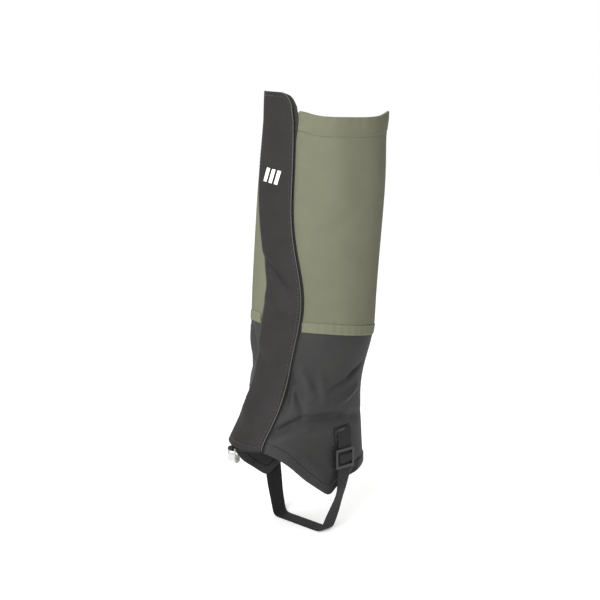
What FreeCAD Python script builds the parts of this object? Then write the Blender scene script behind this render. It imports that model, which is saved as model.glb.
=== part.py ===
"""Left-leg gaiter for a walking boot, as a parametric document in millimetres.

Frame: +Z up the leg, -Y towards the toe, +X towards the outer side, where the slider is.
The origin lies on the upper face of the underfoot strap, below the middle of the ankle.
The cloth tube is a loft through ellipses. Every layer of cloth, tape and webbing is the
space between two such lofts, each grown outward by its own offset, cut to its outline.
"""
import FreeCAD, Part
import math
import os
import Sketcher
from FreeCAD import Placement, Rotation, Vector

doc = FreeCAD.newDocument("gaiter")
sheet = doc.addObject("Spreadsheet::Sheet", "Dims")

# Sections of the tube: name, height, how far the centre is set back, half width, half depth.
SECTIONS = [
    ("foot", 40, -33, 53, 99),
    ("heel", 70, -30, 53, 94),
    ("instep", 105, -23, 53, 83),
    ("bend", 137, -15, 53, 71),
    ("ankle", 172, -7, 54, 65),
    ("joint", 215, 0, 64, 68),
    ("low_calf", 240, 2, 65, 69),
    ("calf", 330, 10, 66, 70),
    ("high_calf", 400, 16, 65.5, 69),
    ("rim", 455, 22, 64, 67),
    ("crest", 485, 25, 63, 66),
]

# Outward offsets of the layers, from the inner face of the shell cloth.
LAYERS = [
    ("elastic_inner", -1.3),
    ("elastic_outer", -0.1),
    ("cloth_inner", 0.0),
    ("cloth_outer", 1.0),
    ("tape_inner", 1.1),
    ("tape_outer", 1.9),
    ("loop_inner", 2.0),
    ("loop_outer", 2.9),
    ("hook_inner", 3.2),
    ("hook_outer", 4.0),
    ("lining_inner", 4.1),
    ("lining_outer", 4.6),
    ("flap_inner", 4.7),
    ("flap_outer", 5.5),
    ("print_inner", 5.6),
    ("print_outer", 5.8),
    ("band_inner", 1.3),
    ("band_outer", 2.3),
    ("casing_wall", 2.5),
    ("casing_outer", 3.3),
    ("tab_outer", 2.5),
    ("tack_inner", 2.6),
    ("tack_outer", 3.2),
]

# Stations down the flap: name, height, sewn edge x, free edge x.
FLAP_STATIONS = [
    ("flap_low", 101, -30, 27.5),
    ("flap_instep", 150, -21, 29.3),
    ("flap_ankle", 200, -13, 35),
    ("flap_seam", 235, -6, 40.5),
    ("flap_swell", 265, -3.5, 42.3),
    ("flap_crease", 292, -5.5, 37),
    ("flap_calf", 331, -17, 30),
    ("flap_high", 415, -28, 24.1),
    ("flap_crest", 458, -33, 18),
]

# Lower edge of the gaiter: name, y, height.
HEM_STATIONS = [
    ("hem_toe", -130, 107),
    ("hem_front", -98, 102),
    ("hem_flank", -70, 80),
    ("hem_side", -32, 50),
    ("hem_back", 2, 58),
    ("hem_heel", 80, 64),
]

OTHER_SIZES = [
    ("rim_front_level", 457),
    ("rim_side_level", 449),
    ("rim_back_level", 455),
    ("rim_front_reach", -60),
    ("rim_side_reach", 20),
    ("rim_back_reach", 100),
    ("seam_level", 222),
    ("seam_reach", 20),
    ("seam_slope", 0.13),
    ("seam_gap", 0.1),
    ("band_tall", 11),
    ("casing_tall", 21),
    ("top_elastic_inset", 3.5),
    ("hem_tape_tall", 9),
    ("ankle_elastic_level", 112),
    ("ankle_elastic_tall", 12),
    ("slit_left", 0.6),
    ("slit_right", 2.6),
    ("fold_left", 2.4),
    ("fold_right", 3.4),
    ("flap_top_left", 477),
    ("flap_top_middle", 474),
    ("placket_left", 4),
    ("placket_show", 2),
    ("placket_top", 462),
    ("loop_left", 6),
    ("hook_left", 8),
    ("tape_edge_gap", 4),
    ("tape_low", 118),
    ("tape_high", 440),
    ("piping_gap", 0.05),
    ("piping_wide", 1.3),
    ("clear_gap", 0.3),
    ("print_left", -14),
    ("print_bar_long", 16),
    ("print_bar_tall", 3),
    ("print_pitch", 5.5),
    ("print_level", 384),
    ("print_slant", 14),
    ("web_wide", 20),
    ("web_thick", 1.2),
    ("strap_reach", -8),
    ("strap_x", 57),
    ("strap_top", 119),
    ("knee_level", 40),
    ("arch_x", 38),
    ("strap_bend", 12),
    ("knee_bend", 26),
    ("tab_low", 101),
    ("tab_high", 121),
    ("tab_wide", 28),
    ("tack_wide", 16),
    ("tack_tall", 2),
    ("tack_low", 105),
    ("tack_pitch", 10),
    ("slider_level", 85),
    ("slider_wide", 27),
    ("slider_tall", 22),
    ("slider_thick", 4.4),
    ("slider_bar", 3.2),
    ("slider_bar_thick", 1.4),
    ("slider_slot", 21),
    ("slider_gap", 0.2),
    ("slider_corner", 2.5),
    ("slider_soft_edge", 0.4),
    ("bar_overlap", 0.5),
    ("hook_x", -20),
    ("hook_y", -101),
    ("hook_level", 97),
    ("hook_wide", 12),
    ("hook_plate", 1.2),
    ("hook_window", 8.4),
    ("hook_window_tall", 4.6),
    ("hook_bar", 2),
    ("hook_leg", 12),
    ("hook_tip", 4),
    ("hook_bend", 2.5),
    ("tab_loop_wide", 7.4),
    ("tab_loop_inner", 1.7),
    ("tab_loop_outer", 2.7),
    ("tab_tail", 16),
    ("tab_lean", 32),
    ("placket_tack_level", 445),
    ("placket_tack_x", 19.5),
    ("placket_tack_size", 2),
]


def fill_sheet():
    """Write every driving dimension into the sheet as a number with an alias."""
    rows = []
    for name, level, back_set, half_width, half_depth in SECTIONS:
        rows.append((name + "_level", level))
        rows.append((name + "_set", back_set))
        rows.append((name + "_wide", half_width))
        rows.append((name + "_deep", half_depth))
    for name, offset in LAYERS:
        rows.append((name + "_off", offset))
    for name, level, sewn, free in FLAP_STATIONS:
        rows.append((name + "_level", level))
        rows.append((name + "_sewn", sewn))
        rows.append((name + "_free", free))
    for name, reach, level in HEM_STATIONS:
        rows.append((name + "_reach", reach))
        rows.append((name + "_level", level))
    rows.extend(OTHER_SIZES)
    for number, (alias, value) in enumerate(rows, start=1):
        sheet.set(f"A{number}", alias)
        sheet.set(f"B{number}", str(value))
        sheet.setAlias(f"B{number}", alias)
    doc.recompute()


def dim(alias):
    """A driving dimension as a plain number."""
    return float(sheet.get(alias))


fill_sheet()

REACH = 200.0     # half length of the trimming solids, more than any part of the gaiter
SEAM_ENDS = (-150, 0, 120)     # y of the points that draw the straight seam line
PRINT_BARS = 3
TACK_ROWS = 2
NEAR = 0.1        # how close to a face an edge counts as lying on it
nodes = []


def sub_part(feature, name):
    """Name a finished feature as a sub-part of the gaiter."""
    feature.Label = name
    nodes.append(feature)
    return feature


# ---------------------------------------------------------------- cloth layers

lofts = {}


def grown_tube(offset):
    """Solid loft through all sections, grown outward by one of the layer offsets."""
    if offset in lofts:
        return lofts[offset]
    rings = []
    for name, *_ in SECTIONS:
        ring = doc.addObject("Part::Ellipse", f"{name}_{offset}")
        ring.Placement = Placement(Vector(0, 0, 0), Rotation(Vector(0, 0, 1), 90))
        ring.setExpression("MajorRadius", f"Dims.{name}_deep + Dims.{offset}_off")
        ring.setExpression("MinorRadius", f"Dims.{name}_wide + Dims.{offset}_off")
        ring.setExpression("Placement.Base.y", f"Dims.{name}_set")
        ring.setExpression("Placement.Base.z", f"Dims.{name}_level")
        rings.append(ring)
    loft = doc.addObject("Part::Loft", f"tube_{offset}")
    loft.Sections = rings
    loft.Solid = True
    lofts[offset] = loft
    return loft


def layer(inner, outer):
    """Tube wall between two layer offsets."""
    wall = doc.addObject("Part::Cut", f"wall_{inner}_{outer}")
    wall.Base = grown_tube(outer)
    wall.Tool = grown_tube(inner)
    return wall


def common(name, base, tool):
    """Part of base that lies inside tool."""
    both = doc.addObject("Part::Common", name)
    both.Base = base
    both.Tool = tool
    return both


def cut(name, base, tool):
    """Base with tool taken away."""
    rest = doc.addObject("Part::Cut", name)
    rest.Base = base
    rest.Tool = tool
    return rest


# ---------------------------------------------------------------- outlines

def smooth(points):
    """Edge of a smooth curve through the points."""
    curve = Part.BSplineCurve()
    curve.interpolate(points)
    return curve.toShape()


def trimming_solid(name, lower, upper, along):
    """Solid between two open curves, each given as points, extruded both ways along a vector."""
    edges = [smooth(lower), Part.makeLine(lower[-1], upper[-1])]
    edges += [smooth(upper), Part.makeLine(upper[0], lower[0])]
    face = Part.Face(Part.Wire(Part.__sortEdges__(edges)))
    feature = doc.addObject("Part::Feature", name)
    feature.Shape = face.extrude(along)
    return feature


def hem_line(rise):
    """Points of the lower edge in the side view, moved up by rise."""
    return [Vector(-REACH, dim(name + "_reach"), dim(name + "_level") + rise)
            for name, *_ in HEM_STATIONS]


def rim_line(rise):
    """Points of the rim in the side view, moved up by rise."""
    return [Vector(-REACH, dim(f"rim_{side}_reach"), dim(f"rim_{side}_level") + rise)
            for side in ("front", "side", "back")]


def seam_line(rise):
    """Ends and middle of the straight seam line in the side view, moved up by rise."""
    points = []
    for reach in SEAM_ENDS:
        level = dim("seam_level") - dim("seam_slope") * (reach - dim("seam_reach"))
        points.append(Vector(-REACH, reach, level + rise))
    return points


def side_region(name, lower, upper):
    """Trimming solid with a side-view outline."""
    return trimming_solid(name, lower, upper, Vector(2 * REACH, 0, 0))


def flap_line(edge, shift, crest_level):
    """Points of the flap's sewn or free edge in the front view, from hem to crest."""
    points = [Vector(dim(f"{name}_{edge}") + shift, -REACH, dim(f"{name}_level"))
              for name, *_ in FLAP_STATIONS]
    points[-1].z = crest_level
    return points


def upright_line(side, low, high):
    """Straight upright line in the front view."""
    return [Vector(side, -REACH, low), Vector(side, -REACH, high)]


def front_region(name, left, right):
    """Trimming solid with a front-view outline, on the toe side only."""
    return trimming_solid(name, left, right, Vector(0, REACH, 0))


def box_region(name, low, high):
    """Trimming box between two corners."""
    box = doc.addObject("Part::Box", name)
    box.Length = high.x - low.x
    box.Width = high.y - low.y
    box.Height = high.z - low.z
    box.Placement.Base = low
    return box


# ---------------------------------------------------------------- shells and their trims

def make_shells():
    """Olive upper shell and charcoal lower shell, open down the front under the flap."""
    slit = box_region("slit", Vector(dim("slit_left"), -REACH, 0),
                      Vector(dim("slit_right"), 0, dim("crest_level") + 1))
    upper = side_region("upper_outline", seam_line(dim("seam_gap")), rim_line(0))
    lower = side_region("lower_outline", hem_line(0), seam_line(0))
    for name, outline in (("upper_shell", upper), ("lower_shell", lower)):
        tube = common(name + "_tube", layer("cloth_inner", "cloth_outer"), outline)
        sub_part(cut(name + "_open", tube, slit), name)


def front_zone():
    """Everything from the flap's sewn edge to the placket's outer edge, and on below both."""
    gap = dim("clear_gap")
    left = flap_line("sewn", -gap, dim("flap_top_left"))
    right = flap_line("free", dim("placket_show") + gap, dim("flap_top_left"))
    for line in (left, right):
        line.insert(0, line[0] * 2 - line[1])
    return front_region("front_zone", left, right)


def make_bands(zone):
    """Seam band, bottom hem tape and the rim casing with its elastic."""
    middle = dim("band_tall") / 2
    band = side_region("band_outline", seam_line(-middle), seam_line(middle))
    ring = common("band_ring", layer("tape_inner", "tape_outer"), band)
    sub_part(cut("band_open", ring, zone), "seam_band")

    hem = side_region("hem_outline", hem_line(0), hem_line(dim("hem_tape_tall")))
    ring = common("hem_ring", layer("tape_inner", "tape_outer"), hem)
    sub_part(cut("hem_open", ring, zone), "bottom_hem_tape")

    outer = side_region("casing_outline", rim_line(-dim("casing_tall")), rim_line(0))
    ring = common("casing_ring", layer("casing_wall", "casing_outer"), outer)
    sub_part(cut("casing_open", ring, zone), "top_casing")

    inset = dim("top_elastic_inset")
    band = side_region("elastic_outline", rim_line(inset - dim("casing_tall")),
                       rim_line(-inset))
    ring = common("elastic_ring", layer("band_inner", "band_outer"), band)
    sub_part(cut("elastic_open", ring, zone), "top_elastic")


def make_ankle_elastic():
    """Gathering elastic inside the lower shell, round the back and the sides."""
    low = Vector(-REACH, dim("bend_set"), dim("ankle_elastic_level"))
    high = Vector(REACH, REACH, dim("ankle_elastic_level") + dim("ankle_elastic_tall"))
    back = box_region("ankle_elastic_outline", low, high)
    sub_part(common("ankle_band", layer("elastic_inner", "elastic_outer"), back),
             "ankle_elastic")


# ---------------------------------------------------------------- front closure

def make_closure():
    """Placket with loop tape on the shell, and the flap with hook tape that closes on it."""
    low = dim("flap_low_level")
    crest = dim("flap_crest_level")
    show = dim("placket_show")
    outline = front_region("placket_outline",
                           upright_line(dim("placket_left"), low, dim("placket_top")),
                           flap_line("free", show, dim("placket_top")))
    sub_part(common("placket_strip", layer("tape_inner", "tape_outer"), outline),
             "front_placket")

    edge_gap = dim("tape_edge_gap")
    tapes = side_region("tape_ends",
                        [Vector(-REACH, reach, dim("tape_low")) for reach in (-REACH, 0)],
                        [Vector(-REACH, reach, dim("tape_high")) for reach in (-REACH, 0)])
    for kind in ("loop", "hook"):
        outline = front_region(kind + "_outline",
                               upright_line(dim(kind + "_left"), low, crest),
                               flap_line("free", -edge_gap, crest))
        strip = common(kind + "_strip", layer(kind + "_inner", kind + "_outer"), outline)
        sub_part(common(kind + "_cut", strip, tapes), kind + "_tape")

    free = front_region("free_outline", upright_line(dim("fold_right"), low, crest),
                        flap_line("free", 0, crest))
    sub_part(common("free_cloth", layer("flap_inner", "flap_outer"), free),
             "flap_free_side")
    lining = common("lining_cloth", layer("lining_inner", "lining_outer"), free)
    sub_part(lining, "flap_lining")

    piping = front_region("piping_outline", flap_line("free", dim("piping_gap"), crest),
                          flap_line("free", dim("piping_wide"), crest))
    sub_part(common("piping_strip", layer("lining_inner", "flap_outer"), piping),
             "flap_edge_piping")

    sewn = front_region("sewn_outline", flap_line("sewn", 0, dim("flap_top_left")),
                        upright_line(dim("fold_left"), low, dim("flap_top_middle")))
    sub_part(common("sewn_cloth", layer("tape_inner", "flap_outer"), sewn),
             "flap_sewn_side")


def make_print():
    """Plain slanted bars of reflective print near the top of the flap."""
    bars = []
    for number in range(PRINT_BARS):
        bar = doc.addObject("Part::Box", f"print_bar_{number}")
        bar.setExpression("Length", "Dims.print_bar_long")
        bar.setExpression("Height", "Dims.print_bar_tall")
        bar.Width = REACH
        bar.Placement = Placement(Vector(0, -REACH, 0),
                                  Rotation(Vector(0, 1, 0), dim("print_slant")))
        bar.setExpression("Placement.Base.x", "Dims.print_left")
        bar.setExpression("Placement.Base.z", f"Dims.print_level + {number} * Dims.print_pitch")
        bars.append(bar)
    group = doc.addObject("Part::MultiFuse", "print_bars")
    group.Shapes = bars
    sub_part(common("print_marks", layer("print_inner", "print_outer"), group),
             "reflective_print")


# ---------------------------------------------------------------- sketched bodies

def rough_value(expression):
    """Present value of an expression of sheet aliases."""
    value = sheet.evalExpression(expression)
    return float(getattr(value, "Value", value))


def plane_of(body, role):
    """Origin plane of a body, such as XZ_Plane."""
    return next(item for item in body.Origin.OriginFeatures if item.Role == role)


def corner_sketch(body, name, role, corners):
    """Closed sketch of straight lines whose corners are held at pairs of expressions."""
    sketch = body.newObject("Sketcher::SketchObject", name)
    sketch.AttachmentSupport = (plane_of(body, role), "")
    sketch.MapMode = "FlatFace"
    places = [Vector(rough_value(across), rough_value(up), 0) for across, up in corners]
    count = len(places)
    for number in range(count):
        line = Part.LineSegment(places[number], places[(number + 1) % count])
        sketch.addGeometry(line, False)
    for number in range(count):
        after = (number + 1) % count
        sketch.addConstraint(Sketcher.Constraint("Coincident", number, 2, after, 1))
    for number, (across, up) in enumerate(corners):
        hold_point(sketch, "DistanceX", number, across, places[number].x)
        hold_point(sketch, "DistanceY", number, up, places[number].y)
    return sketch


def hold_point(sketch, kind, line, expression, value):
    """Hold the start of a line at a distance from the sketch's origin."""
    constraint = Sketcher.Constraint(kind, -1, 1, line, 1, value)
    number = sketch.addConstraint(constraint)
    sketch.setExpression(f"Constraints[{number}]", expression)


def rectangle(left, right, low, high):
    """Corner expressions of an upright rectangle."""
    return [(left, low), (right, low), (right, high), (left, high)]


def add_pad(body, name, sketch, length, both_ways=False):
    """Pad of a sketch whose length is an expression."""
    pad = body.newObject("PartDesign::Pad", name)
    pad.Profile = sketch
    pad.setExpression("Length", length)
    pad.Midplane = both_ways
    doc.recompute()
    return pad


def round_edges(body, name, radius, chosen):
    """Fillet of the edges of the body's tip for which chosen(edge) is true."""
    base = body.Tip
    names = [f"Edge{k}" for k, edge in enumerate(base.Shape.Edges, start=1) if chosen(edge)]
    fillet = body.newObject("PartDesign::Fillet", name)
    fillet.Base = (base, names)
    fillet.setExpression("Radius", radius)
    doc.recompute()
    return fillet


def runs_along(edge, direction):
    """True for a straight edge parallel to a unit vector."""
    if not isinstance(edge.Curve, Part.Line):
        return False
    return abs(edge.tangentAt(edge.FirstParameter).dot(direction)) > 0.999


# ---------------------------------------------------------------- strap, slider and tabs

def make_strap():
    """Webbing loop under the boot arch: two upright legs, drawn in to a flat middle run."""
    body = doc.addObject("PartDesign::Body", "strap_body")
    lean = "atan((Dims.strap_x - Dims.arch_x) / Dims.knee_level)"
    knee_shift = f"Dims.web_thick * tan({lean} / 2)"
    arch_shift = f"Dims.web_thick * tan((90 deg - {lean}) / 2)"
    inner = [("Dims.strap_x", "Dims.strap_top"),
             ("Dims.strap_x", "Dims.knee_level"),
             ("Dims.arch_x", "0")]
    outer = [(f"Dims.arch_x + {arch_shift}", "-Dims.web_thick"),
             ("Dims.strap_x + Dims.web_thick", f"Dims.knee_level - {knee_shift}"),
             ("Dims.strap_x + Dims.web_thick", "Dims.strap_top")]
    left_inner = [(f"-1 * ({across})", up) for across, up in reversed(inner)]
    left_outer = [(f"-1 * ({across})", up) for across, up in reversed(outer)]
    sketch = corner_sketch(body, "strap_outline", "XZ_Plane",
                           inner + left_inner + left_outer + outer)
    add_pad(body, "strap_web", sketch, "Dims.web_wide", both_ways=True)
    cross = Vector(0, 1, 0)
    thick = dim("web_thick")

    def bend(low, high, inside):
        """Chooser for the bend edges between two levels, on the inside or the outside."""
        def chosen(edge):
            place = edge.CenterOfMass
            wide = dim("strap_x") if place.z > dim("knee_level") / 2 else dim("arch_x")
            on_inside = place.z > -thick / 2 and abs(place.x) < wide + 0.2 * thick
            return runs_along(edge, cross) and low < place.z < high and on_inside == inside
        return chosen

    top = dim("strap_top") - 1
    round_edges(body, "arch_inside", "Dims.strap_bend", bend(-2 * thick, thick, True))
    round_edges(body, "arch_outside", "Dims.strap_bend + Dims.web_thick",
                bend(-2 * thick, -thick / 2, False))
    round_edges(body, "knee_inside", "Dims.knee_bend + Dims.web_thick",
                bend(thick + dim("strap_bend"), top, True))
    round_edges(body, "knee_outside", "Dims.knee_bend",
                bend(thick + dim("strap_bend"), top, False))
    body.setExpression("Placement.Base.y", "Dims.strap_reach")
    sub_part(body, "underfoot_strap")


def make_slider():
    """Three-bar slider: outer bars in front of the strap and the middle bar behind it."""
    body = doc.addObject("PartDesign::Body", "slider_body")
    half_wide = "Dims.slider_wide / 2"
    half_tall = "Dims.slider_tall / 2"
    half_slot = "Dims.slider_slot / 2"
    window = f"({half_tall} - Dims.slider_bar)"
    outline = corner_sketch(body, "slider_outline", "YZ_Plane",
                            rectangle(f"-1 * {half_wide}", half_wide,
                                      f"-1 * {half_tall}", half_tall))
    add_pad(body, "slider_block", outline, "Dims.slider_thick")
    corner = Vector(1, 0, 0)
    reach = dim("slider_wide") / 2 - NEAR
    round_edges(body, "slider_corners", "Dims.slider_corner",
                lambda edge: runs_along(edge, corner) and abs(edge.CenterOfMass.y) > reach)
    face_x = dim("slider_thick") - NEAR
    round_edges(body, "slider_soft_edges", "Dims.slider_soft_edge",
                lambda edge: edge.BoundBox.XMin > face_x)
    opening = corner_sketch(body, "slider_opening", "YZ_Plane",
                            rectangle(f"-1 * {half_slot}", half_slot,
                                      f"-1 * {window}", window))
    slot = corner_sketch(body, "slider_channel", "YZ_Plane",
                         rectangle(f"-1 * {half_slot}", half_slot,
                                   f"-1 * ({half_tall} + Dims.bar_overlap)",
                                   f"{half_tall} + Dims.bar_overlap"))
    for name, sketch, depth in (
            ("window", opening, "Dims.slider_thick"),
            ("channel", slot, "Dims.slider_thick - Dims.slider_bar_thick")):
        pocket = body.newObject("PartDesign::Pocket", "slider_" + name)
        pocket.Profile = sketch
        pocket.Reversed = True
        pocket.setExpression("Length", depth)
        doc.recompute()
    bar = corner_sketch(body, "slider_bar_outline", "YZ_Plane",
                        rectangle(f"-1 * ({half_slot} + Dims.bar_overlap)",
                                  f"{half_slot} + Dims.bar_overlap",
                                  "-0.5 * Dims.slider_bar", "0.5 * Dims.slider_bar"))
    add_pad(body, "slider_middle_bar", bar, "Dims.slider_bar_thick")
    body.setExpression("Placement.Base.x",
                       "Dims.strap_x - Dims.slider_gap - Dims.slider_bar_thick")
    body.setExpression("Placement.Base.y", "Dims.strap_reach")
    body.setExpression("Placement.Base.z", "Dims.slider_level")
    sub_part(body, "slider_frame")


def make_strap_tabs():
    """Webbing patches that carry the strap's ends, with their rows of bartacks."""
    tacks = []
    middle = dim("strap_reach")
    wall = layer("tape_inner", "tab_outer")
    thread = layer("tack_inner", "tack_outer")
    for name, near, far in (("outer_strap_tab", 0, REACH), ("inner_strap_tab", -REACH, 0)):
        half = dim("tab_wide") / 2
        patch = box_region(name + "_outline", Vector(near, middle - half, dim("tab_low")),
                           Vector(far, middle + half, dim("tab_high")))
        sub_part(common(name + "_cloth", wall, patch), name)
        half = dim("tack_wide") / 2
        for row in range(TACK_ROWS):
            low = dim("tack_low") + row * dim("tack_pitch")
            bar = box_region(f"{name}_tack_{row}", Vector(near, middle - half, low),
                             Vector(far, middle + half, low + dim("tack_tall")))
            tacks.append(bar)
    group = doc.addObject("Part::MultiFuse", "tack_boxes")
    group.Shapes = tacks
    sub_part(common("tack_threads", thread, group), "strap_bartacks")

    low = Vector(dim("placket_tack_x"), -REACH, dim("placket_tack_level"))
    size = dim("placket_tack_size")
    spot = box_region("placket_tack_box", low, low + Vector(size, REACH, size))
    sub_part(common("placket_tack_thread", layer("loop_inner", "tab_outer"), spot),
             "placket_bartack")


# ---------------------------------------------------------------- lace hook

def make_lace_hook():
    """Pressed steel hook: a plate with a window for its tab, bent into a J at the bottom."""
    body = doc.addObject("PartDesign::Body", "hook_body")
    half_wide = "Dims.hook_wide / 2"
    bar_top = "Dims.hook_bar / 2"
    leg = corner_sketch(body, "hook_leg_outline", "XZ_Plane",
                        rectangle(f"-1 * {half_wide}", half_wide,
                                  "-1 * Dims.hook_leg", bar_top))
    add_pad(body, "hook_leg_plate", leg, "Dims.hook_plate", both_ways=True)
    window = corner_sketch(body, "hook_window_outline", "XZ_Plane",
                           rectangle("-0.5 * Dims.hook_window", "0.5 * Dims.hook_window",
                                     f"-1 * {bar_top} - Dims.hook_window_tall",
                                     f"-1 * {bar_top}"))
    opening = body.newObject("PartDesign::Pocket", "hook_window")
    opening.Profile = window
    opening.Midplane = True
    opening.setExpression("Length", "2 * Dims.hook_plate")
    doc.recompute()

    bend = body.newObject("Sketcher::SketchObject", "hook_bend_outline")
    bend.AttachmentSupport = (plane_of(body, "YZ_Plane"), "")
    bend.MapMode = "FlatFace"
    half_plate = dim("hook_plate") / 2
    tip_near = half_plate + 2 * dim("hook_bend")
    low = -dim("hook_leg")
    centre = Vector(half_plate + dim("hook_bend"), low, 0)
    for radius in (dim("hook_bend"), dim("hook_bend") + dim("hook_plate")):
        circle = Part.Circle(centre, Vector(0, 0, 1), radius)
        bend.addGeometry(Part.ArcOfCircle(circle, math.pi, 2 * math.pi), False)
    bend.addGeometry(Part.LineSegment(Vector(-half_plate, low, 0),
                                      Vector(half_plate, low, 0)), False)
    bend.addGeometry(Part.LineSegment(Vector(tip_near, low, 0),
                                      Vector(tip_near + 2 * half_plate, low, 0)), False)
    for first, first_end, second, second_end in ((2, 2, 0, 1), (2, 1, 1, 1),
                                                 (3, 1, 0, 2), (3, 2, 1, 2)):
        bend.addConstraint(Sketcher.Constraint("Coincident", first, first_end,
                                               second, second_end))
    bend.addConstraint(Sketcher.Constraint("Coincident", 0, 3, 1, 3))
    bend.addConstraint(Sketcher.Constraint("Horizontal", 2))
    bend.addConstraint(Sketcher.Constraint("Horizontal", 3))
    bend.addConstraint(Sketcher.Constraint("Horizontal", 0, 3, 2, 2))
    bend.addConstraint(Sketcher.Constraint("Horizontal", 0, 3, 3, 1))
    for geometry, size in ((0, "Dims.hook_bend"), (1, "Dims.hook_bend + Dims.hook_plate")):
        number = bend.addConstraint(Sketcher.Constraint("Radius", geometry,
                                                        rough_value(size)))
        bend.setExpression(f"Constraints[{number}]", size)
    for kind, size in (("DistanceX", "0.5 * Dims.hook_plate + Dims.hook_bend"),
                       ("DistanceY", "-1 * Dims.hook_leg")):
        constraint = Sketcher.Constraint(kind, -1, 1, 0, 3, rough_value(size))
        number = bend.addConstraint(constraint)
        bend.setExpression(f"Constraints[{number}]", size)
    add_pad(body, "hook_bend_plate", bend, "Dims.hook_wide", both_ways=True)

    near = "0.5 * Dims.hook_plate + 2 * Dims.hook_bend"
    tip = corner_sketch(body, "hook_tip_outline", "YZ_Plane",
                        rectangle(near, f"{near} + Dims.hook_plate",
                                  "-1 * Dims.hook_leg", "Dims.hook_tip - Dims.hook_leg"))
    add_pad(body, "hook_tip_plate", tip, "Dims.hook_wide", both_ways=True)
    for axis, alias in (("x", "hook_x"), ("y", "hook_y"), ("z", "hook_level")):
        body.setExpression(f"Placement.Base.{axis}", f"Dims.{alias}")
    sub_part(body, "lace_hook")


def make_hook_tab():
    """Webbing loop round the hook's top bar, with its tail sewn inside the shell."""
    place = Vector(dim("hook_x"), dim("hook_y"), dim("hook_level"))
    across = Placement(place - Vector(dim("tab_loop_wide") / 2, 0, 0),
                       Rotation(Vector(0, 1, 0), 90))
    rings = []
    for side in ("outer", "inner"):
        ring = doc.addObject("Part::Cylinder", f"tab_{side}")
        ring.setExpression("Radius", f"Dims.tab_loop_{side}")
        ring.setExpression("Height", "Dims.tab_loop_wide")
        ring.Placement = across
        rings.append(ring)
    tail = doc.addObject("Part::Box", "tab_tail_block")
    tail.setExpression("Length", "Dims.tab_loop_wide")
    tail.setExpression("Width", "Dims.tab_loop_outer - Dims.tab_loop_inner")
    tail.setExpression("Height", "Dims.tab_tail")
    lean = Rotation(Vector(1, 0, 0), -dim("tab_lean"))
    start = lean.multVec(Vector(0, dim("tab_loop_inner"), 0))
    tail.Placement = Placement(across.Base + start, lean)
    whole = doc.addObject("Part::Fuse", "tab_whole")
    whole.Base = rings[0]
    whole.Tool = tail
    sub_part(cut("tab_open", whole, rings[1]), "hook_tab")


# ---------------------------------------------------------------- build, check and write

make_strap()
make_slider()
make_lace_hook()
make_hook_tab()
make_shells()
make_bands(front_zone())
make_ankle_elastic()
make_closure()
make_print()
make_strap_tabs()
doc.recompute()

for item in doc.Objects:
    if "Invalid" in item.State or "Error" in item.State:
        raise RuntimeError(f"{item.Label} failed: {item.State}")
for node in nodes:
    if node.Shape.isNull() or not node.Shape.isValid():
        raise RuntimeError(f"{node.Label} has no valid shape")
    if not node.Shape.Solids:
        raise RuntimeError(f"{node.Label} has no solid")

os.makedirs("parts", exist_ok=True)
for node in nodes:
    node.Shape.exportStep(f"parts/{node.Label}.step")
    box = node.Shape.BoundBox
    print(f"{node.Label}: {len(node.Shape.Solids)} solid, {node.Shape.Volume:.0f} mm3, "
          f"x {box.XMin:.1f}..{box.XMax:.1f}, y {box.YMin:.1f}..{box.YMax:.1f}, "
          f"z {box.ZMin:.1f}..{box.ZMax:.1f}")
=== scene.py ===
"""Left-leg gaiter: cloth, tapes, webbing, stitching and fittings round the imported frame.

The cloth is worked out in millimetres over the leg: an angle round the leg, 0 at the toe side
and 90 on the outer side, and a height. Meshes are in metres, in the frame's own axes.
"""
import bpy
import math
import numpy as np
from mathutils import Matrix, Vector
from mathutils.bvhtree import BVHTree


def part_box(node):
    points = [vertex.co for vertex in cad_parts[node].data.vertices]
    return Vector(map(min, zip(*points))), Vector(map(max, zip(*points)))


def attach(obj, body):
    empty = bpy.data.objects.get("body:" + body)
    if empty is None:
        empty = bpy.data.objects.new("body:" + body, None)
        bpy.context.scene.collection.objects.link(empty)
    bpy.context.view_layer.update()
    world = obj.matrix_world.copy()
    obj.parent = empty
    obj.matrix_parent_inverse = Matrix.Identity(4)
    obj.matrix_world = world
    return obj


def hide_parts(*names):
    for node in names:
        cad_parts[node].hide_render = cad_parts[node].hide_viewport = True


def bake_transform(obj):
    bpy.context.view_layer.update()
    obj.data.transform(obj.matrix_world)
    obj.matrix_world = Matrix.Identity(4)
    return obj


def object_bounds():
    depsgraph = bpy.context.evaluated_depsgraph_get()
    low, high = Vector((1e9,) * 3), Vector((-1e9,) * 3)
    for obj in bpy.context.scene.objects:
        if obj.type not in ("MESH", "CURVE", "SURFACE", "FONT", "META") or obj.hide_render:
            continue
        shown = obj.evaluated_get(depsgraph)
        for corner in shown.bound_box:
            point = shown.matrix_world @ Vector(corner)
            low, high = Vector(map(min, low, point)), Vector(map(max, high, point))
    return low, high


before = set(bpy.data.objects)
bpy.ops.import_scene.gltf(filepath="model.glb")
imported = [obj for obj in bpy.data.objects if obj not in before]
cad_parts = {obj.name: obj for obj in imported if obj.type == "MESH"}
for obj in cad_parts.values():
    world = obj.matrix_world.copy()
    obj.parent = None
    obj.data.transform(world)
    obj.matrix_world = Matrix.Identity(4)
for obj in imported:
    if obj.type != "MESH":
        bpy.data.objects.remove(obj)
cad_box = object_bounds()
MM = 0.001


# ------------------------------------------------------------------ the cloth tube

WHOLE_ABOVE_HEM, WHOLE_BELOW_RIM, BEYOND_RIM = 17, 9, 40


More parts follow.
